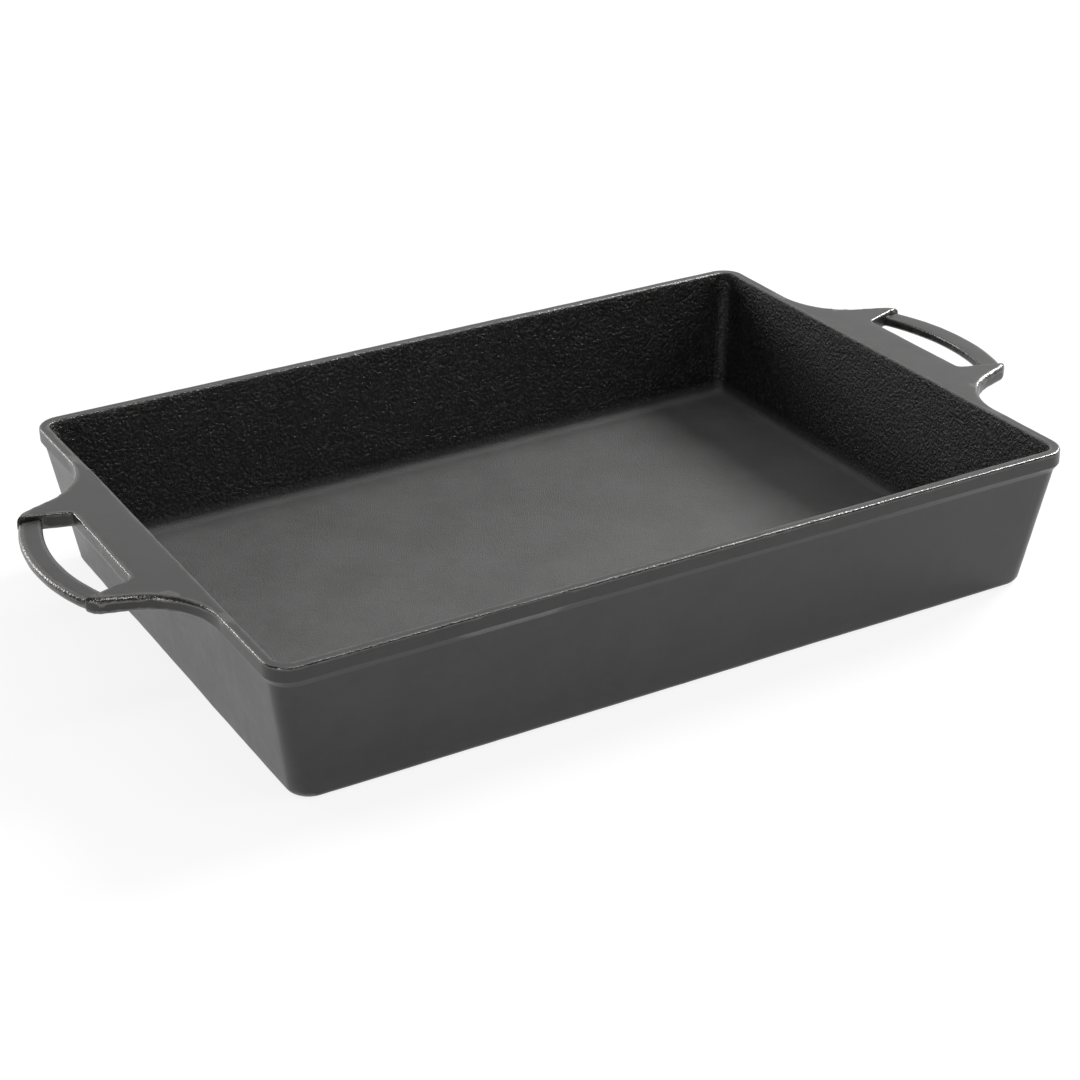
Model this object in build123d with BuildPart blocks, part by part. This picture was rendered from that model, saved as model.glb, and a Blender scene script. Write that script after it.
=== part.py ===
from build123d import *
import os
from math import asin, cos, degrees, radians, sin, sqrt, tan

os.makedirs("parts", exist_ok=True)

# Deep rectangular baking dish of cast iron with a loop handle at each short end.
# All sizes are millimetres. X runs along the dish, Y across it and Z up,
# from the middle of the flat base that the dish stands on.

# Dish, measured over the rim without the handles
rim_length = 338.0
rim_width = 238.6
dish_height = 59.5
rim_corner_radius = 10.0
rim_edge_chamfer = 0.8
mouth_edge_radius = 1.0
rim_land = 4.2

# Outside: an upright band below the rim, a short step inwards, then a leaning wall.
# Each inset is how far a level stands in from the rim's outer face.
band_height = 5.8
step_height = 2.8
step_inset = 1.8
base_inset = 9.4
wall_corner_radius = 8.5
base_edge_radius = 3.2

# Inside: the wall leans a little more than outside, so the casting thickens downwards
floor_thickness = 4.2
floor_inset = 14.0
mouth_corner_radius = 5.5
floor_corner_radius = 4.5
floor_fillet_radius = 3.5

# Loop handle: a plate level with the rim that flares out of it, narrows to two ears
# and thickens outwards. Reaches and offsets are measured out from the rim's outer face.
handle_reach = 41.2
handle_root_thickness = 5.5
handle_tip_thickness = 7.0
handle_underside_chamfer = 1.3
flare_radius = 32.5
side_taper = 20.5
ear_corner_radius = 9.5
ear_breadth = 5.4
ear_overhang = 0.4
root_offset = 2.0
root_embed = 2.6

# Finger slot through the plate, straight beside the dish and splayed at its ends
slot_offset = 15.2
slot_splay = 5.2
slot_corner_radius = 2.5
slot_edge_chamfer = 0.8

# Grip bar: bowed and rounded, between the ears and a little below their tops
grip_length = 71.2
grip_outer_radius = 98.2
grip_inner_radius = 93.6
grip_width = 9.1
grip_thickness = 4.4
grip_drop = 2.0
grip_top_radius = 1.5
grip_underside_chamfer = 1.4
grip_shoulder = 4.4
grip_embed = 1.6

rim_face = rim_length / 2
plate_level = Plane((rim_face, 0, dish_height))
grip_level = Plane((rim_face, 0, dish_height - grip_drop))
right_root = Plane((rim_face + root_offset, 0, 0), z_dir=(1, 0, 0))
left_root = Plane((-rim_face - root_offset, 0, 0), z_dir=(-1, 0, 0))
underside_height = dish_height - handle_tip_thickness
underside_slope = (handle_tip_thickness - handle_root_thickness) / handle_reach

# Outer face of the ears and inner face of the bar, two arcs about centres inside the dish
ear_centre = (handle_reach - grip_outer_radius, 0)
ear_radius = grip_outer_radius + ear_overhang
grip_inner_centre = (handle_reach - grip_width - grip_inner_radius, 0)

# The slot's splayed end runs on under the bar as far as the shoulder, and the plate's side
# passes that corner at the breadth of the ear, then sweeps round to meet the rim
slot_mouth = grip_inner_centre[0] + sqrt(grip_inner_radius**2 - (grip_length / 2) ** 2) + grip_shoulder
taper = radians(side_taper)
flare_run = flare_radius * (1 - sin(taper))
side_rise = (slot_mouth - flare_run) * tan(taper)
flare_start = grip_length / 2 + ear_breadth + side_rise + flare_radius * cos(taper)

# Cavity of the dish, from the floor to the mouth, with its floor edge rounded
with BuildPart() as cavity:
    for height, inset, corner in [
        (floor_thickness, floor_inset, floor_corner_radius),
        (dish_height, rim_land, mouth_corner_radius),
    ]:
        with BuildSketch(Plane.XY.offset(height)):
            RectangleRounded(rim_length - 2 * inset, rim_width - 2 * inset, corner)
    loft(ruled=True)
    fillet(cavity.faces().sort_by(Axis.Z)[0].edges(), radius=floor_fillet_radius)

# Handle plate at the positive end: its flared plan outline, running a little into the rim,
# with a chamfered lower edge and an underside that rises towards the root
with BuildPart() as handle_plate:
    with BuildSketch(plate_level) as plate_outline:
        with BuildLine():
            ear_circle = CenterArc(ear_centre, ear_radius, 0, 90, mode=Mode.PRIVATE)
            flare = CenterArc((flare_radius, flare_start), flare_radius, 180, 90 - side_taper)
            side = IntersectingLine(flare @ 1, flare % 1, ear_circle)
            CenterArc(ear_centre, ear_radius, 0, degrees(asin((side @ 1).Y / ear_radius)))
            Polyline(flare @ 0, (-root_embed, flare_start), (-root_embed, 0))
            mirror(about=Plane.XZ)
        make_face()
        fillet(plate_outline.vertices().group_by(Axis.X)[-1], radius=ear_corner_radius)
    extrude(amount=-handle_tip_thickness)
    underside = handle_plate.faces().sort_by(Axis.Z)[0]
    chamfer(
        underside.edges().filter_by(lambda edge: edge.center().X > rim_face),
        length=handle_underside_chamfer,
    )
    with BuildSketch(Plane.XZ):
        with BuildLine():
            Polyline(
                (rim_face - root_embed, dish_height),
                (rim_face + 2 * handle_reach, dish_height),
                (rim_face + 2 * handle_reach, underside_height - handle_reach * underside_slope),
                (rim_face - root_embed, underside_height + (handle_reach + root_embed) * underside_slope),
                close=True,
            )
        make_face()
    extrude(amount=flare_start, both=True, mode=Mode.INTERSECT)

# Finger slot at the positive end, together with the room between the ears for the grip bar
with BuildPart() as finger_gap:
    with BuildSketch(plate_level) as gap_outline:
        with BuildLine():
            Polyline(
                (slot_offset, 0),
                (slot_offset, grip_length / 2 - slot_splay),
                (slot_mouth, grip_length / 2),
                (2 * handle_reach, grip_length / 2),
                (2 * handle_reach, 0),
            )
            mirror(about=Plane.XZ)
        make_face()
        fillet(gap_outline.vertices().group_by(Axis.X)[0], radius=slot_corner_radius)
    extrude(amount=-dish_height)
    with BuildSketch(plate_level):
        offset(gap_outline.sketch_local, amount=2 * slot_edge_chamfer, kind=Kind.INTERSECTION)
    extrude(amount=slot_edge_chamfer)
    chamfer(
        finger_gap.faces().filter_by(Axis.Z).sort_by(Axis.Z)[-2].inner_wires().edges(),
        length=slot_edge_chamfer,
    )

# Grip bar of the same handle: it keeps the ears' rounded outline a little way in,
# and both its ends run a little into the ears
with BuildPart() as grip_bar:
    with BuildSketch(grip_level):
        offset(plate_outline.sketch_local, amount=-ear_overhang)
        with Locations(grip_inner_centre):
            Circle(grip_inner_radius, mode=Mode.SUBTRACT)
        with Locations((handle_reach, 0)):
            Rectangle(
                2 * (handle_reach - slot_offset),
                grip_length + 2 * grip_embed,
                mode=Mode.INTERSECT,
            )
    extrude(amount=-grip_thickness)
    grip_faces = grip_bar.faces().filter_by(Axis.Z).sort_by(Axis.Z)
    fillet(grip_faces[-1].edges().filter_by(GeomType.CIRCLE), radius=grip_top_radius)
    grip_faces = grip_bar.faces().filter_by(Axis.Z).sort_by(Axis.Z)
    chamfer(grip_faces[0].edges().filter_by(GeomType.CIRCLE), length=grip_underside_chamfer)

# The whole casting: wall, step and band, then both plates, the cavity, slots and bars
with BuildPart() as casting:
    for height, inset, corner in [
        (0, base_inset, wall_corner_radius),
        (dish_height - band_height - step_height, step_inset, wall_corner_radius),
        (dish_height - band_height, 0, rim_corner_radius),
        (dish_height, 0, rim_corner_radius),
    ]:
        with BuildSketch(Plane.XY.offset(height)):
            RectangleRounded(rim_length - 2 * inset, rim_width - 2 * inset, corner)
    loft(ruled=True)
    fillet(casting.faces().sort_by(Axis.Z)[0].edges(), radius=base_edge_radius)
    add(handle_plate.part)
    mirror(handle_plate.part, about=Plane.YZ)
    add(cavity.part, mode=Mode.SUBTRACT)
    rim_top = casting.faces().sort_by(Axis.Z)[-1]
    chamfer(rim_top.outer_wire().edges(), length=rim_edge_chamfer)
    rim_top = casting.faces().sort_by(Axis.Z)[-1]
    fillet(rim_top.inner_wires().edges(), radius=mouth_edge_radius)
    add(finger_gap.part, mode=Mode.SUBTRACT)
    mirror(finger_gap.part, about=Plane.YZ, mode=Mode.SUBTRACT)
    add(grip_bar.part)
    mirror(grip_bar.part, about=Plane.YZ)

# The tub, with the shallow roots of both handles
with BuildPart() as dish_body:
    add(casting.part)
    split(bisect_by=right_root, keep=Keep.BOTTOM)
    split(bisect_by=left_root, keep=Keep.BOTTOM)
dish_body.part.label = "dish_body"
export_step(dish_body.part, "parts/dish_body.step")

# The handle beyond each root
with BuildPart() as right_handle:
    add(casting.part)
    split(bisect_by=right_root, keep=Keep.TOP)
right_handle.part.label = "right_handle"
export_step(right_handle.part, "parts/right_handle.step")

with BuildPart() as left_handle:
    add(casting.part)
    split(bisect_by=left_root, keep=Keep.TOP)
left_handle.part.label = "left_handle"
export_step(left_handle.part, "parts/left_handle.step")
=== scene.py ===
import bmesh
import bpy
import math
import numpy as np
from mathutils import Matrix, Vector
from mathutils.geometry import delaunay_2d_cdt


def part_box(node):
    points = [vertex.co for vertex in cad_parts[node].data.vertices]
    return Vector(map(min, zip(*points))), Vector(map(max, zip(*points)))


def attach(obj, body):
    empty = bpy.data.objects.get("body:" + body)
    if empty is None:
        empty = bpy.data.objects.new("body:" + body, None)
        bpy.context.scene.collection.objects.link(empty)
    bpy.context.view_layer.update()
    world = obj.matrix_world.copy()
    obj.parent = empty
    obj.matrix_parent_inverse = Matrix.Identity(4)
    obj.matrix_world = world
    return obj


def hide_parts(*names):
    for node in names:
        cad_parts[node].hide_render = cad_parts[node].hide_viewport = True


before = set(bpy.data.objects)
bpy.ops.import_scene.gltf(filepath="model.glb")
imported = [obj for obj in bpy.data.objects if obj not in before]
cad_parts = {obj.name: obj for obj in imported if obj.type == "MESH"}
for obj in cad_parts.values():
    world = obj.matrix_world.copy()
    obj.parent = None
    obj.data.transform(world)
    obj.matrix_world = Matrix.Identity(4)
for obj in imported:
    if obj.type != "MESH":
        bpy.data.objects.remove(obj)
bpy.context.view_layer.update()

MM = 0.001

# Sizes of the casting in millimetres, as it is made
HALF_LENGTH = 169.0
HALF_WIDTH = 119.3
HEIGHT = 59.5
RIM_CORNER = 10.0
BAND_FOOT = 53.7
STEP_INSET = 1.8
STEP_FOOT = 50.9
BASE_INSET = 9.4
WALL_CORNER = 8.5
BASE_EDGE = 3.2
LAND = 4.2
MOUTH_CORNER = 5.5
FLOOR_INSET = 14.0
FLOOR_TOP = 4.2
FLOOR_CORNER = 4.5
FLOOR_FILLET = 3.8
ROOT_INSET = 1.2
PLATE_ROOT = 5.5
PLATE_GROWTH = 1.5
REACH = 41.2
FLARE_RADIUS = 32.5
FLARE_START = 74.56
SIDE_TAPER = math.radians(20.5)
EAR_CENTRE = np.array([-57.0, 0.0])
EAR_RADIUS = 98.6
EAR_CORNER = 8.6
EAR_OVERHANG = 0.4
EAR_TIP = 36.5
SLOT_SIDE = 15.2
SLOT_MOUTH = 29.5
SLOT_CORNER = 2.5
SLOT_SPLAY = 5.2
SHOULDER = 0.9
GRIP_HALF = 35.6
GRIP_DROP = 2.0
GRIP_BASE = 6.2
GRIP_INNER = 93.6
GRIP_CENTRE = -61.5
GRIP_EMBED = 2.4

# How far edges are turned over: the rim's, those of a handle's side and ear, and the four of its bar
EDGE = 0.9
FAR_EDGE = 1.1
NEAR_EDGE = 2.1
UNDER_EDGE = 1.55
TIP_EDGE = GRIP_DROP + 0.3
SLOT_UNDER_EDGE = 0.8
BAR_OUTER_TOP = 1.8
BAR_INNER_TOP = 1.1
BAR_INNER_LOW = 1.4
BAR_OUTER_LOW = 2.1
ROOT_LINE = np.append(np.arange(0, FLARE_START - 1, 3.0), FLARE_START)
TURN = [math.radians(a) for a in (0, 12, 26, 42, 58, 74, 90)]


# Camera

def place_camera(bearing, height_angle, roll, right, down, away, lens):
    """Camera by the two angles it looks from, its roll, and where the origin lies in its view."""
    back = Vector((
        math.sin(bearing) * math.cos(height_angle),
        -math.cos(bearing) * math.cos(height_angle),
        math.sin(height_angle),
    ))
    level = (-back).cross(Vector((0, 0, 1))).normalized()
    upright = level.cross(-back)
    side = level * math.cos(roll) + upright * math.sin(roll)
    top = upright * math.cos(roll) - level * math.sin(roll)
    camera = bpy.data.objects.new("camera", bpy.data.cameras.new("camera"))
    camera.data.lens = lens
    camera.data.sensor_width = 36
    camera.data.clip_start = 0.05
    camera.data.clip_end = 30
    turn = Matrix((side, top, back)).transposed().to_4x4()
    spot = back * away - side * right + top * down
    camera.matrix_world = Matrix.Translation(spot) @ turn
    bpy.context.scene.collection.objects.link(camera)
    bpy.context.scene.camera = camera


place_camera(
    bearing=-0.50950, height_angle=0.46673, roll=-0.01612,
    right=1.2967 * MM, down=11.463 * MM, away=985.82 * MM, lens=80.657,
)


# Mesh helpers

def unit(v):
    return v / np.linalg.norm(v)


def turned_profile(corners):
    """Section line through corners (inset, height, plan radius), each turned on its own radius."""
    line = []
    for k, (corner, radius, steps) in enumerate(corners):
        corner = np.array(corner, float)
        if radius == 0:
            line.append(corner)
            continue
        before = np.array(corners[k - 1][0], float)
        after = np.array(corners[k + 1][0], float)
        to_before = unit(before[:2] - corner[:2])
        to_after = unit(after[:2] - corner[:2])
        half = math.acos(np.clip(to_before @ to_after, -1, 1)) / 2
        reach = radius / math.tan(half)
        centre = corner[:2] + unit(to_before + to_after) * radius / math.sin(half)
        start = corner + (before - corner) * reach / np.linalg.norm((before - corner)[:2])
        end = corner + (after - corner) * reach / np.linalg.norm((after - corner)[:2])
        sweep = math.pi - 2 * half
        for t in np.linspace(0, 1, steps + 1):
            spoke = math.sin((1 - t) * sweep) * (start[:2] - centre)
            spoke = spoke + math.sin(t * sweep) * (end[:2] - centre)
            point = centre + spoke / math.sin(sweep)
            line.append(np.array([*point, (1 - t) * start[2] + t * end[2]]))
    return line


def divided(line, longest):
    """The same line with every long run cut into equal steps."""
    out = [line[0]]
    for a, b in zip(line, line[1:]):
        count = max(1, math.ceil(np.linalg.norm((b - a)[:2]) / longest))
        out += [a + (b - a) * t for t in np.linspace(0, 1, count + 1)[1:]]
    return out


rng = np.random.default_rng(7)


def waves(count, shortest, longest):
    """Directions, phases and pushes of gentle waves, for a surface as a sand mould leaves it."""
    heading = rng.normal(size=(count, 3))
    heading /= np.linalg.norm(heading, axis=1)[:, None]
    length = shortest * (longest / shortest) ** rng.random(count)
    push = rng.normal(size=(count, 3)) / math.sqrt(count)
    return heading * 2 * math.pi / length[:, None], rng.random(count) * 2 * math.pi, push


SWELL = waves(40, 45, 140)
RIPPLE = waves(90, 7, 20)
CHATTER = waves(120, 2.2, 5.0)


def uneven(points, swell=0.10, ripple=0.035):
    """Moves each point a little, by its place alone, so that touching pieces stay together."""
    moved = points.copy()
    for (wave, phase, push), size in ((SWELL, swell), (RIPPLE, ripple)):
        moved += size * np.sin(points @ wave.T + phase) @ push
    return moved


def ground_edges(points, outline, size=0.09):
    """Roughens a handle near its outline, where the mould's seam was ground off by hand."""
    plan = points[:, None, :2] - outline[None]
    gap = np.sqrt((plan**2).sum(axis=2)).min(axis=1)
    share = np.clip((3.6 - gap) / 2.0, 0, 1) * np.clip((points[:, 0] - 3) / 6, 0, 1)
    wave, phase, push = CHATTER
    return points + size * share[:, None] * (np.sin(points @ wave.T + phase) @ push)


# Bend in radians at which an edge begins to wear, and the further bend until it is fully worn
EASY_BEND = 0.165
BEND_SPAN = 0.06


def edge_wear(work, spots, wear):
    """How far each point is rubbed: along sharp bends, and a little less on the points beside them."""
    out = HALF_LENGTH - np.abs(spots[:, 0])
    along = FLARE_START - np.abs(spots[:, 1])
    joint = (np.abs(out - ROOT_INSET) < 0.3) & (along > 0.5)
    flare_root = (out > -6) & (out < 2) & (np.abs(along) < 9) & (spots[:, 2] < HEIGHT - 1.4)
    bend = [max((e.calc_face_angle(0.0) for e in v.link_edges), default=0.0) for v in work.verts]
    bend = np.clip((np.array(bend) - EASY_BEND) / BEND_SPAN, 0, 1)
    bend = np.where(joint | flare_root, 0.0, bend)
    near = [[e.other_vert(v).index for e in v.link_edges] for v in work.verts]
    return [wear * max([bend[k]] + [0.6 * bend[n] for n in near[k]]) for k in range(len(near))]


def cooking_side(spots):
    """Whether each point is on the inside of the dish: further in than the middle of the leaning wall."""
    inset = np.minimum(HALF_LENGTH - np.abs(spots[:, 0]), HALF_WIDTH - np.abs(spots[:, 1]))
    middle = 3.4 + (HEIGHT - spots[:, 2]) * 0.148
    return (inset > middle) & (spots[:, 2] > 2) & (spots[:, 2] < HEIGHT - 0.4)


def mark(mesh, name, values):
    mesh.attributes.new(name, "FLOAT", "POINT").data.foreach_set("value", values)


def cast_piece(name, points, faces, node, low, high, wear):
    """Mesh object of one casting piece, in metres, kept inside the solid's box."""
    points = np.clip(uneven(np.array(points, float)) * MM, low, high)
    mesh = bpy.data.meshes.new(name)
    mesh.from_pydata(points.tolist(), [], faces)
    mesh.validate()
    piece = bpy.data.objects.new(name, mesh)
    bpy.context.scene.collection.objects.link(piece)
    work = bmesh.new()
    work.from_mesh(mesh)
    bmesh.ops.remove_doubles(work, verts=work.verts, dist=1e-7)
    bmesh.ops.recalc_face_normals(work, faces=work.faces)
    work.verts.ensure_lookup_table()
    work.verts.index_update()
    spots = np.array([v.co[:] for v in work.verts]) / MM
    edge = edge_wear(work, spots, wear)
    work.to_mesh(mesh)
    work.free()
    mark(mesh, "edge", edge)
    # The inside of the dish, whose walls take painted shade in the iron's colour
    inner = cooking_side(spots)
    mark(mesh, "cooking_side", inner.astype(float))
    # Marks the dish's floor, fading out up its fillet: where its painted light goes, along with its own
    # roughness and bump
    mark(mesh, "cooking_floor", inner * np.clip((9.5 - spots[:, 2]) / 4.0, 0, 1))
    mesh.shade_smooth()
    mesh.set_sharp_from_angle(angle=math.radians(50))
    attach(piece, "root")
    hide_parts(node)
    return piece


# Dish

# Where a handle grows out of the short sides the rim's edge belongs to the handle,
# and the dish stops at a line a little inside the rim
ROOT_UNDERSIDE = HEIGHT - PLATE_ROOT


def wall_section(at_root):
    """Section from the base's edge to the floor. Both kinds have the same number of points."""
    rise = turned_profile([
        ((40.0, 0.0, WALL_CORNER), 0, 0),
        ((BASE_INSET, 0.0, WALL_CORNER), BASE_EDGE, 8),
        ((STEP_INSET, STEP_FOOT, WALL_CORNER), 1.2, 3),
        ((0.0, BAND_FOOT, RIM_CORNER), 0.6, 4),
        ((0.0, HEIGHT, RIM_CORNER), 0, 0),
    ])[1:-1]
    rise = divided(rise, 4.5)
    if at_root:
        edge = [(0.0, ROOT_UNDERSIDE - 0.04), (ROOT_INSET, ROOT_UNDERSIDE), (ROOT_INSET, HEIGHT - 2.5)]
        edge += [(ROOT_INSET, HEIGHT - EDGE + 0.85 * k / 6) for k in range(7)]
    else:
        edge = [(0.0, ROOT_UNDERSIDE - 0.04), (0.0, ROOT_UNDERSIDE), (0.0, HEIGHT - 2.5)]
        edge += [(EDGE * (1 - math.cos(a)), HEIGHT - EDGE + EDGE * math.sin(a)) for a in TURN]
    edge += [(ROOT_INSET, HEIGHT)]
    rounder = RIM_CORNER - MOUTH_CORNER
    edge = [np.array([i, z, RIM_CORNER - i * rounder / LAND]) for i, z in edge]
    fall = turned_profile([
        ((ROOT_INSET, HEIGHT, RIM_CORNER - ROOT_INSET * rounder / LAND), 0, 0),
        ((LAND, HEIGHT, MOUTH_CORNER), 1.1, 6),
        ((FLOOR_INSET, FLOOR_TOP, FLOOR_CORNER), FLOOR_FILLET, 9),
        ((24.0, FLOOR_TOP, FLOOR_CORNER), 0, 0),
    ])[1:-1]
    return rise + edge + divided(fall, 4.0)


def rim_stations():
    """Places round the rim: quarter, kind, coordinate along it, and whether a handle grows there."""
    root = np.concatenate([-ROOT_LINE[:0:-1], ROOT_LINE])
    beyond = np.linspace(0, 1, 10)
    corner = np.linspace(0, 90, 11)[1:-1]
    long_side = np.linspace(-1, 1, 86)
    places = []
    for turn in (0, 2):
        places += [(turn, "end", -1 - f, False) for f in beyond[:0:-1]]
        places += [(turn, "root", -FLARE_START, False)]
        places += [(turn, "root", y, True) for y in root]
        places += [(turn, "root", FLARE_START, False)]
        places += [(turn, "end", 1 + f, False) for f in beyond[1:]]
        places += [(turn, "corner", a, False) for a in corner]
        places += [(turn + 1, "side", f, False) for f in long_side]
        places += [(turn + 1, "corner", a, False) for a in corner]
    return places


def ring_points(places, full, cut):
    """Points of one level of the section at every place round the rim."""
    out = []
    for quarter, kind, along, at_root in places:
        inset, z, plan = cut if at_root else full
        flip = 1 if quarter < 2 else -1
        cx, cy = HALF_LENGTH - inset - plan, HALF_WIDTH - inset - plan
        if kind == "root":
            x, y = cx + plan, along
        elif kind == "end":
            far = FLARE_START + (abs(along) - 1) * (cy - FLARE_START)
            x, y = cx + plan, math.copysign(far, along)
        elif kind == "side":
            x, y = -along * cx, cy + plan
        elif quarter % 2 == 0:
            a = math.radians(along)
            x, y = cx + plan * math.cos(a), cy + plan * math.sin(a)
        else:
            a = math.radians(along + 90)
            x, y = -cx + plan * math.cos(a), cy + plan * math.sin(a)
        out.append((flip * x, flip * y, z))
    return out


def make_dish():
    places = rim_stations()
    count = len(places)
    full, cut = wall_section(False), wall_section(True)
    levels = [ring_points(places, a, b) for a, b in zip(full, cut)]
    first, last = np.array(levels[0]), np.array(levels[-1])
    shrink = np.array([1, 1, 0])
    base = [first * (1 - shrink) + first * shrink * t for t in np.linspace(0.04, 1, 12)[:-1]]
    floor = [last * (1 - shrink) + last * shrink * t for t in np.linspace(1, 0.02, 44)[1:]]
    levels = [b.tolist() for b in base] + levels + [f.tolist() for f in floor]
    points = [p for level in levels for p in level]
    faces = [list(range(count)), [len(points) - count + k for k in range(count)]]
    for k in range(len(levels) - 1):
        for j in range(count):
            n = (j + 1) % count
            faces.append([k * count + j, k * count + n, (k + 1) * count + n, (k + 1) * count + j])
    low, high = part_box("dish_body")
    return cast_piece("iron_dish", points, faces, "dish_body", low, high, 0.9)


# Handles

def metal_edge(start, end, way, count, top, low):
    """Straight stretch of an outline, without its first point."""
    return [(start + (end - start) * t, way, top, low) for t in np.linspace(0, 1, count + 1)[1:]]


def ear_corner():
    """Start of the plate's straight side, its run to the ear, and the centre of the ear's rounding."""
    start = np.array([FLARE_RADIUS, FLARE_START])
    start -= FLARE_RADIUS * np.array([math.sin(SIDE_TAPER), math.cos(SIDE_TAPER)])
    way = np.array([math.cos(SIDE_TAPER), -math.sin(SIDE_TAPER)])
    side_in = np.array([-math.sin(SIDE_TAPER), -math.cos(SIDE_TAPER)])
    from_centre = start + side_in * EAR_CORNER - EAR_CENTRE
    along = from_centre @ way
    length = -along + math.sqrt(along**2 - from_centre @ from_centre + (EAR_RADIUS - EAR_CORNER) ** 2)
    return start, start + way * length, start + way * length + side_in * EAR_CORNER


SIDE_START, SIDE_END, EAR = ear_corner()


SLOT_STEPS = 12


def half_plate(turned):
    """Half of a handle's outline from the middle of its root round to the middle of its slot.

    Each place is a point, the way into the metal there, and how far its upper and lower edges
    are turned over.
    """
    run = [(np.array([-ROOT_INSET, y]), np.array([1.0, 0.0]), 0.0, 0.0) for y in ROOT_LINE]
    flare = np.array([FLARE_RADIUS, FLARE_START])
    for t in np.linspace(0, 1, 26):
        a = math.pi + t * (math.pi / 2 - SIDE_TAPER)
        spoke = np.array([math.cos(a), math.sin(a)])
        top = EDGE + (turned - EDGE) * min(1, 1.3 * t)
        run.append((flare + FLARE_RADIUS * spoke, spoke, top, 0.05 + (UNDER_EDGE - 0.05) * t))
    side_in = unit(EAR - SIDE_END)
    run += metal_edge(SIDE_START, SIDE_END, side_in, 5, turned, UNDER_EDGE)
    first = math.atan2(-side_in[1], -side_in[0])
    last = math.asin((EAR_TIP - EAR[1]) / EAR_CORNER)
    tip = EAR + EAR_CORNER * np.array([math.cos(last), math.sin(last)])
    tip_in = np.array([-2.3, 0.55])
    for t in np.linspace(0, 1, 17)[1:]:
        a = first + (last - first) * t
        spoke = np.array([math.cos(a), math.sin(a)])
        top = turned + (TIP_EDGE - turned) * t
        way = -spoke * (1 - t**3) + tip_in / top * t**3
        run.append((EAR + EAR_CORNER * spoke, way, top, UNDER_EDGE + (TIP_EDGE - UNDER_EDGE) * t))
    mouth = np.array([SLOT_MOUTH, GRIP_HALF])
    corner = np.array([SLOT_SIDE, GRIP_HALF - SLOT_SPLAY])
    end_way = unit(mouth - corner)
    end_in = np.array([-end_way[1], end_way[0]])
    mouth_in = SHOULDER * unit(np.array([0.0, 1.0]) + end_in)
    for t in np.linspace(0, 1, 9)[1:]:
        top = TIP_EDGE + (SHOULDER - TIP_EDGE) * min(1, 1.4 * t)
        low = TIP_EDGE + (SLOT_UNDER_EDGE - TIP_EDGE) * min(1, 1.6 * t)
        way = tip_in + (mouth_in - tip_in) * t
        run.append((tip + (mouth - tip) * t, way / top, top, low))
    bend = math.acos(end_way[1])
    reach = SLOT_CORNER * math.tan(bend / 2)
    start = corner + end_way * reach
    run += metal_edge(mouth, start, end_in, 6, SHOULDER, SLOT_UNDER_EDGE)
    centre = corner + np.array([SLOT_CORNER, -reach])
    for t in np.linspace(1, 0, 8)[1:]:
        a = math.pi - t * bend
        spoke = np.array([math.cos(a), math.sin(a)])
        run.append((centre + SLOT_CORNER * spoke, spoke, SHOULDER, SLOT_UNDER_EDGE))
    end, way = np.array([SLOT_SIDE, 0.0]), np.array([-1.0, 0.0])
    return run + metal_edge(run[-1][0], end, way, SLOT_STEPS, SHOULDER, SLOT_UNDER_EDGE)


def plate_under(points):
    """Height of the plate's underside, which falls towards the grip."""
    return HEIGHT - PLATE_ROOT - PLATE_GROWTH * np.clip(points[:, 0], 0, None) / REACH


def filled(loop, spacing):
    """Triangles over a closed outline, with an even grid of points inside it."""
    low, high = loop.min(axis=0), loop.max(axis=0)
    rows = np.arange(low[1] + spacing / 2, high[1], spacing * 0.87)
    columns = np.arange(low[0], high[0], spacing)
    grid = np.array([(x + (k % 2) * spacing / 2, y) for k, y in enumerate(rows) for x in columns])
    after = np.roll(loop, -1, axis=0)
    run = after - loop
    away = grid[:, None, :] - loop[None]
    share = np.clip((away * run).sum(axis=2) / (run * run).sum(axis=1), 0, 1)
    gap = np.linalg.norm(away - share[..., None] * run, axis=2).min(axis=1)
    straddle = (loop[None, :, 1] > grid[:, 1:]) != (after[None, :, 1] > grid[:, 1:])
    rise = np.where(run[:, 1] == 0, 1, run[:, 1])
    cross = loop[None, :, 0] + (grid[:, 1:] - loop[None, :, 1]) * run[:, 0] / rise
    inside = (straddle & (grid[:, :1] < cross)).sum(axis=1) % 2 == 1
    grid = grid[inside & (gap > spacing * 0.6)]
    points = np.concatenate([loop, grid])
    around = [list(range(len(loop)))]
    found = delaunay_2d_cdt([Vector(p) for p in points.tolist()], [], around, 1, 1e-5)
    home = [source[0] for source in found[3]]
    return points, [[home[v] for v in face] for face in found[2]]


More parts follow.
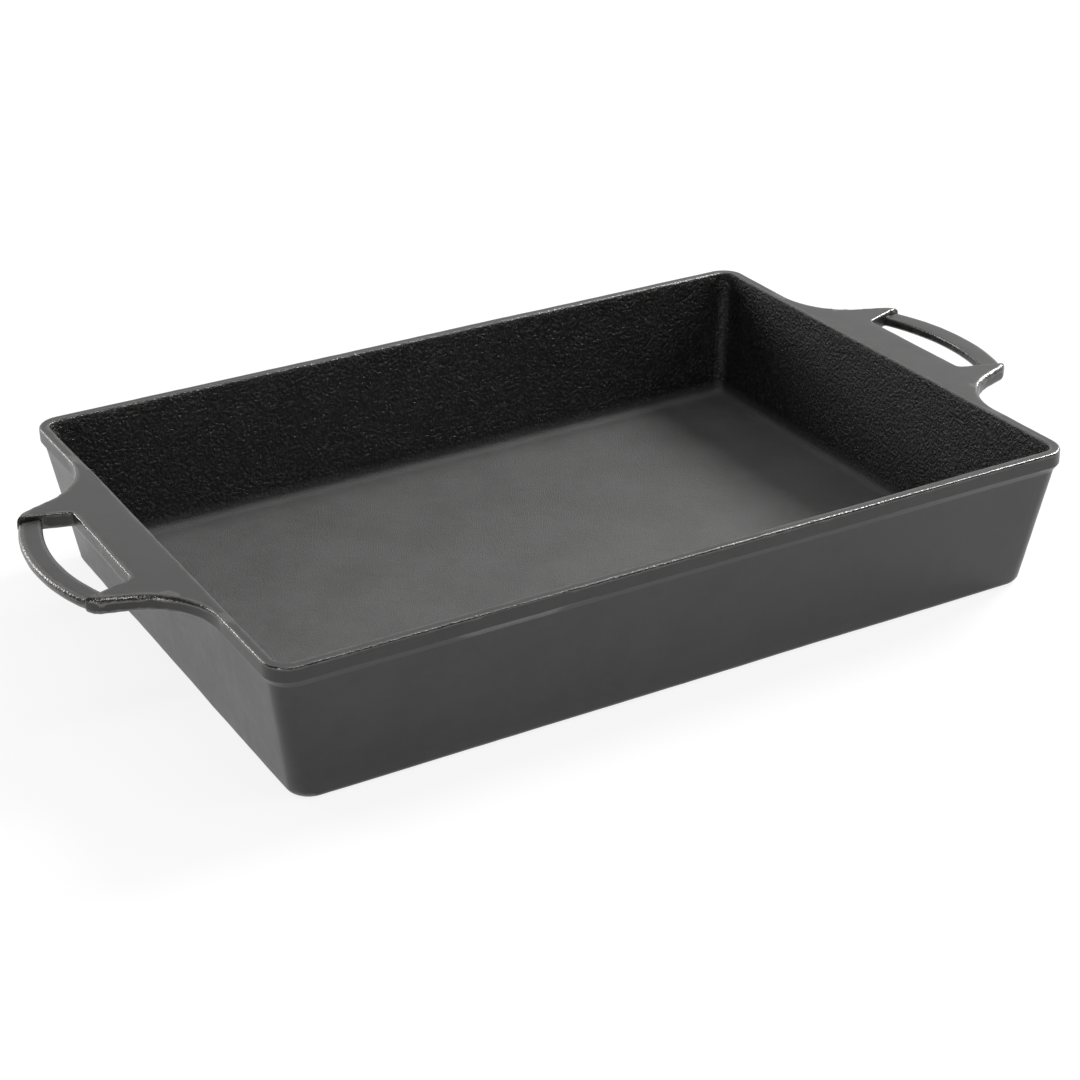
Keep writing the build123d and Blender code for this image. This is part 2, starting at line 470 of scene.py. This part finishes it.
def plate_shell():
    """The plate with both ears, turned over along every free edge."""
    flip = np.array([1.0, -1.0])
    whole = half_plate(FAR_EDGE)
    whole += [(p * flip, way * flip, top, low) for p, way, top, low in half_plate(NEAR_EDGE)[-2:0:-1]]
    edge = np.array([p for p, way, top, low in whole])
    ways = np.array([way for p, way, top, low in whole])
    tops = np.array([top for p, way, top, low in whole])[:, None]
    lows = np.array([low for p, way, top, low in whole])[:, None]
    rows = []
    for a in TURN[::-1]:
        at = edge + ways * tops * (1 - math.cos(a))
        rows.append((at, HEIGHT - tops[:, 0] * (1 - math.sin(a))))
    high = HEIGHT - tops[:, 0]
    base = plate_under(edge) + lows[:, 0]
    rows += [(edge, high + (base - high) * t) for t in (0.33, 0.67)]
    for a in TURN:
        at = edge + ways * lows * (1 - math.cos(a))
        rows.append((at, plate_under(at) + lows[:, 0] * (1 - math.sin(a))))
    count = len(whole)
    points = np.concatenate([np.column_stack([at, z]) for at, z in rows])
    faces = []
    for k in range(len(rows) - 1):
        for j in range(count):
            n = (j + 1) % count
            faces.append([k * count + j, k * count + n, (k + 1) * count + n, (k + 1) * count + j])
    for row, height in ((0, lambda p: np.full(len(p), HEIGHT)), (len(rows) - 1, plate_under)):
        cover, triangles = filled(rows[row][0], 2.2)
        places = [row * count + k for k in range(count)]
        places += [len(points) + k for k in range(len(cover) - count)]
        points = np.concatenate([points, np.column_stack([cover, height(cover)])[count:]])
        faces += [[places[v] for v in face] for face in triangles]
    return points, faces


def grip_shell():
    """The bowed bar between the ears, with its ends a little way into them."""
    sections = []
    for y in np.linspace(-GRIP_HALF - GRIP_EMBED, GRIP_HALF + GRIP_EMBED, 41):
        outside = EAR_CENTRE[0] + math.sqrt((EAR_RADIUS - EAR_OVERHANG) ** 2 - y**2)
        if abs(y) > EAR[1]:
            beside = (EAR_CORNER - EAR_OVERHANG) ** 2 - (abs(y) - EAR[1]) ** 2
            outside = min(outside, EAR[0] + math.sqrt(beside))
        inside = GRIP_CENTRE + math.sqrt(GRIP_INNER**2 - y**2)
        top, low = HEIGHT - GRIP_DROP, HEIGHT - GRIP_BASE
        ring = []
        for x, z, radius, first in (
            (outside, top, BAR_OUTER_TOP, 0), (inside, top, BAR_INNER_TOP, 90),
            (inside, low, BAR_INNER_LOW, 180), (outside, low, BAR_OUTER_LOW, 270),
        ):
            cx = x - radius if x == outside else x + radius
            cz = z - radius if z == top else z + radius
            for a in np.radians(np.linspace(first, first + 90, 8)):
                ring.append((cx + radius * math.cos(a), y, cz + radius * math.sin(a)))
            if first in (0, 180):
                from_x = ring[-1][0]
                to_x = inside + BAR_INNER_TOP if first == 0 else outside - BAR_OUTER_LOW
                ring += [(from_x + (to_x - from_x) * t, y, z) for t in (0.33, 0.67)]
        sections.append(ring)
    count = len(sections[0])
    points = [p for ring in sections for p in ring]
    faces = [list(range(count)), [len(points) - 1 - k for k in range(count)]]
    for k in range(len(sections) - 1):
        for j in range(count):
            n = (j + 1) % count
            faces.append([k * count + j, (k + 1) * count + j, (k + 1) * count + n, k * count + n])
    return np.array(points), faces


def joined(shells):
    """One closed skin from shells that run into each other, as points and faces."""
    parts = []
    for points, faces in shells:
        mesh = bpy.data.meshes.new("shell")
        mesh.from_pydata(points.tolist(), [], faces)
        work = bmesh.new()
        work.from_mesh(mesh)
        bmesh.ops.remove_doubles(work, verts=work.verts, dist=1e-4)
        bmesh.ops.recalc_face_normals(work, faces=work.faces)
        work.to_mesh(mesh)
        work.free()
        part = bpy.data.objects.new("shell", mesh)
        bpy.context.scene.collection.objects.link(part)
        parts.append(part)
    union = parts[0].modifiers.new("union", "BOOLEAN")
    union.operation = "UNION"
    union.solver = "EXACT"
    union.object = parts[1]
    bpy.context.view_layer.update()
    united = parts[0].evaluated_get(bpy.context.evaluated_depsgraph_get())
    result = bpy.data.meshes.new_from_object(united)
    points = np.array([v.co[:] for v in result.vertices])
    faces = [list(f.vertices) for f in result.polygons]
    for part in parts:
        mesh = part.data
        bpy.data.objects.remove(part)
        bpy.data.meshes.remove(mesh)
    bpy.data.meshes.remove(result)
    return points, faces


HANDLE_POINTS, HANDLE_FACES = joined([plate_shell(), grip_shell()])

# The outline that was ground: the flare, the side and the ear, on both sides of the handle
FREE_EDGE = np.array([place[0] for place in half_plate(FAR_EDGE)[len(ROOT_LINE):-22]])
FREE_EDGE = np.concatenate([FREE_EDGE, FREE_EDGE * [1, -1]])


def make_handle(name, node, side, wear):
    points = ground_edges(HANDLE_POINTS, FREE_EDGE)
    points[:, 0] = side * (HALF_LENGTH + points[:, 0])
    low, high = (np.array(corner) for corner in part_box(node))
    if side > 0:
        low[0] = HALF_LENGTH * MM - 0.01
    else:
        high[0] = 0.01 - HALF_LENGTH * MM
    low[1], high[1] = -HALF_WIDTH * MM, HALF_WIDTH * MM
    return cast_piece(name, points, HANDLE_FACES, node, low, high, wear)


dish = make_dish()
left = make_handle("iron_handle_left", "left_handle", -1, 1.0)
right = make_handle("iron_handle_right", "right_handle", 1, 0.7)


# Finish of the iron

class Map:
    """A value that changes over a surface. Sums of maps and numbers make the Math nodes they need."""

    def __init__(self, finish, socket):
        self.finish = finish
        self.socket = socket

    def math(self, operation, first, second):
        return self.finish.node("ShaderNodeMath", {"operation": operation}, {0: first, 1: second})

    def __add__(self, other):
        return self.math("ADD", self, other)

    def __sub__(self, other):
        return self.math("SUBTRACT", self, other)

    def __rsub__(self, other):
        return self.math("SUBTRACT", other, self)

    def __mul__(self, other):
        return self.math("MULTIPLY", self, other)

    __radd__ = __add__
    __rmul__ = __mul__


class Finish:
    """A material and the nodes that make it."""

    def __init__(self, name):
        self.material = bpy.data.materials.new(name)
        self.material.use_nodes = True
        self.shader = self.material.node_tree.nodes["Principled BSDF"]

    def feed(self, socket, value):
        if isinstance(value, Map):
            self.material.node_tree.links.new(value.socket, socket)
        else:
            socket.default_value = value

    def node(self, kind, settings, sockets, out=0):
        made = self.material.node_tree.nodes.new(kind)
        for name, value in settings.items():
            setattr(made, name, value)
        for name, value in sockets.items():
            self.feed(made.inputs[name], value)
        return Map(self, made.outputs[out])

    def set(self, **sockets):
        for name, value in sockets.items():
            self.feed(self.shader.inputs[name.replace("_", " ")], value)

    def place(self):
        return self.node("ShaderNodeTexCoord", {}, {}, "Object")

    def marked(self, name):
        return self.node("ShaderNodeAttribute", {"attribute_name": name}, {}, "Fac")

    def noise(self, size, detail, roughness):
        """Noise whose features are about this size in millimetres."""
        return self.node("ShaderNodeTexNoise", {}, {
            "Vector": self.place(), "Scale": 1000 / size, "Detail": detail, "Roughness": roughness,
        }, "Fac")

    def between(self, value, low, high):
        """Zero below low, one above high, and a smooth rise in between."""
        return self.node("ShaderNodeMapRange", {"interpolation_type": "SMOOTHSTEP"}, {
            "Value": value, "From Min": low, "From Max": high,
        })

    def blend(self, share, first, second):
        return self.node("ShaderNodeMix", {"data_type": "RGBA"}, {
            "Factor": share, "A": (*first, 1) if isinstance(first, tuple) else first,
            "B": (*second, 1) if isinstance(second, tuple) else second,
        }, "Result")

    def bump(self, height, depth, strength):
        """Relief of this depth in millimetres."""
        return self.node("ShaderNodeBump", {}, {
            "Height": height, "Distance": depth * MM, "Strength": strength,
        })


# Colours of the outside, the inner walls in painted shade with specks of painted glint, the dish's floor in
# painted light, and bare worn edges
DARK_SOOT = (0.0125, 0.0120, 0.0118)
PALE_SOOT = (0.0185, 0.0178, 0.0174)
# The inner walls are coloured far darker than the rest of the iron: painted shade
SHADED_WALL_DARK = (0.0010, 0.0009, 0.0009)
SHADED_WALL_PALE = (0.0022, 0.0021, 0.0021)
# Paler specks on the inner walls stand in for glints off the pebbles: painted glints
GLINT_SPECK = (0.030, 0.029, 0.0285)
# The dish's floor is coloured paler than the walls and the outside: painted light
LIT_FLOOR_DARK = (0.042, 0.0405, 0.040)
LIT_FLOOR_PALE = (0.056, 0.054, 0.0535)
WORN_IRON = (0.13, 0.127, 0.125)
ROUGHNESS = 0.35
FLOOR_ROUGH = 0.33
EDGE_POLISH = 0.10
GLAZE = 1.5
BUMP_DEPTH = 1.1
BUMP_OUT = 0.05
BUMP_WALL = 1.0
BUMP_FLOOR = 0.60
BUMP_WORN = 0.25


def seasoned_iron():
    """Near-black baked oil over pebbly cast iron, rubbed smoother and paler along the edges; inside the
    dish the walls carry painted shade with painted glints, and the floor painted light.
    """
    iron = Finish("seasoned_iron")
    inner = iron.marked("cooking_side")
    edge = iron.marked("edge")
    level = iron.marked("cooking_floor")
    pebble = iron.noise(1.3, 2, 0.55)
    grit = iron.noise(0.45, 2, 0.5)
    cloud = iron.noise(28, 3, 0.55)
    mottle = iron.noise(5, 3, 0.6)
    worn = iron.between(edge + mottle * 0.5, 0.55, 1.0)
    tone = iron.between(cloud * 0.6 + mottle * 0.4, 0.36, 0.64)
    outside = iron.blend(tone, DARK_SOOT, PALE_SOOT)
    # Specks of painted glint on the pebbles' tops
    glint_spots = iron.between(pebble * 0.7 + grit * 0.3, 0.50, 0.66)
    # Inner walls: painted shade, with painted glints on the pebbles' tops
    shaded_walls = iron.blend(glint_spots, iron.blend(tone, SHADED_WALL_DARK, SHADED_WALL_PALE), GLINT_SPECK)
    # Floor of the dish: painted light
    floor = iron.blend(tone, LIT_FLOOR_DARK, LIT_FLOOR_PALE)
    skin = iron.blend(level, iron.blend(inner, outside, shaded_walls), floor)
    bare = worn * (1 - inner * 0.7)
    relief = pebble * (0.75 - level * 0.65) + grit * (0.25 + level * 0.25)
    iron.set(
        Base_Color=iron.blend(bare, skin, WORN_IRON),
        Metallic=bare,
        Roughness=(
            ROUGHNESS + level * FLOOR_ROUGH + (cloud - 0.5) * 0.10 + (mottle - 0.5) * 0.10
            - worn * EDGE_POLISH
        ),
        IOR=GLAZE,
        Normal=iron.bump(
            relief, BUMP_DEPTH,
            BUMP_OUT + (inner - level) * (BUMP_WALL - BUMP_OUT) + level * BUMP_FLOOR + bare * BUMP_WORN,
        ),
    )
    return iron.material


iron = seasoned_iron()
for piece in (dish, left, right):
    piece.data.materials.append(iron)


# Floor and light

class Studio(Finish):
    """The room round the dish: white to the camera, bright behind the dish and dim in front of it."""

    def __init__(self, name):
        self.material = bpy.data.worlds.new(name)
        self.material.use_nodes = True
        bpy.context.scene.world = self.material

    def light(self, strength):
        return self.node("ShaderNodeBackground", {}, {"Color": (1, 1, 1, 1), "Strength": strength})


# The bright side of the room, where it begins and is full, and both levels of light
BACKDROP_SIDE = (0.49, 0.87, 0.0)
BACKDROP_FROM = -0.1
BACKDROP_TO = 0.5
BACKDROP_LIGHT = 0.95
ROOM_LIGHT = 0.12


def light_room():
    room = Studio("studio")
    path = room.node("ShaderNodeLightPath", {}, {}, "Is Camera Ray")
    facing = room.node("ShaderNodeVectorMath", {"operation": "DOT_PRODUCT"}, {
        0: room.node("ShaderNodeTexCoord", {}, {}, "Generated"), 1: BACKDROP_SIDE,
    }, "Value")
    backdrop = room.between(facing, BACKDROP_FROM, BACKDROP_TO)
    glow = backdrop * (BACKDROP_LIGHT - ROOM_LIGHT) + ROOM_LIGHT
    seen = room.node("ShaderNodeMixShader", {}, {0: path, 1: room.light(glow), 2: room.light(1.0)})
    room.feed(room.material.node_tree.nodes["World Output"].inputs["Surface"], seen)


light_room()


def softbox(name, direction, distance, width, height, power):
    """Flat lamp that faces the dish. Its width runs level."""
    lamp = bpy.data.lights.new(name, "AREA")
    lamp.shape = "RECTANGLE"
    lamp.size = width
    lamp.size_y = height
    lamp.energy = power
    obj = bpy.data.objects.new(name, lamp)
    way = Vector(direction).normalized()
    obj.matrix_world = Matrix.Translation(way * distance) @ way.to_track_quat("Z", "Y").to_matrix().to_4x4()
    bpy.context.scene.collection.objects.link(obj)


softbox("side_lamp", (0.74, 0.14, 0.62), 2.2, 0.7, 0.7, 66)
softbox("overhead_strip", (0.0, -0.42, 0.90), 2.2, 2.2, 0.22, 18)
softbox("back_strip", (-0.50, 0.79, 0.33), 2.2, 0.30, 0.9, 11)
softbox("left_strip", (-0.83, -0.49, 0.22), 2.2, 0.4, 0.4, 7)

# How far the floor is plain white to the camera and to mirror rays
FLOOR_SEEN = 0.86
FLOOR_MIRRORED = 0.7
FLOOR_REACH = 6


def lay_floor():
    ground = Finish("studio_floor")
    ground.set(Base_Color=(0.88, 0.88, 0.88, 1), Roughness=0.9, Specular_IOR_Level=0.0)
    white = ground.node("ShaderNodeEmission", {}, {"Color": (1, 1, 1, 1), "Strength": 1.0})
    straight = ground.node("ShaderNodeLightPath", {}, {}, "Is Camera Ray")
    mirrored = ground.node("ShaderNodeLightPath", {}, {}, "Is Glossy Ray")
    lit = Map(ground, ground.shader.outputs[0])
    shown = straight * FLOOR_SEEN + mirrored * FLOOR_MIRRORED
    seen = ground.node("ShaderNodeMixShader", {}, {0: shown, 1: lit, 2: white})
    ground.feed(ground.material.node_tree.nodes["Material Output"].inputs["Surface"], seen)
    mesh = bpy.data.meshes.new("floor")
    corners = [(x * FLOOR_REACH, y * FLOOR_REACH, 0) for x, y in ((-1, -1), (1, -1), (1, 1), (-1, 1))]
    mesh.from_pydata(corners, [], [[0, 1, 2, 3]])
    floor = bpy.data.objects.new("floor", mesh)
    bpy.context.scene.collection.objects.link(floor)
    mesh.materials.append(ground.material)
    return floor


floor = lay_floor()

bpy.context.scene.view_settings.view_transform = "Standard"
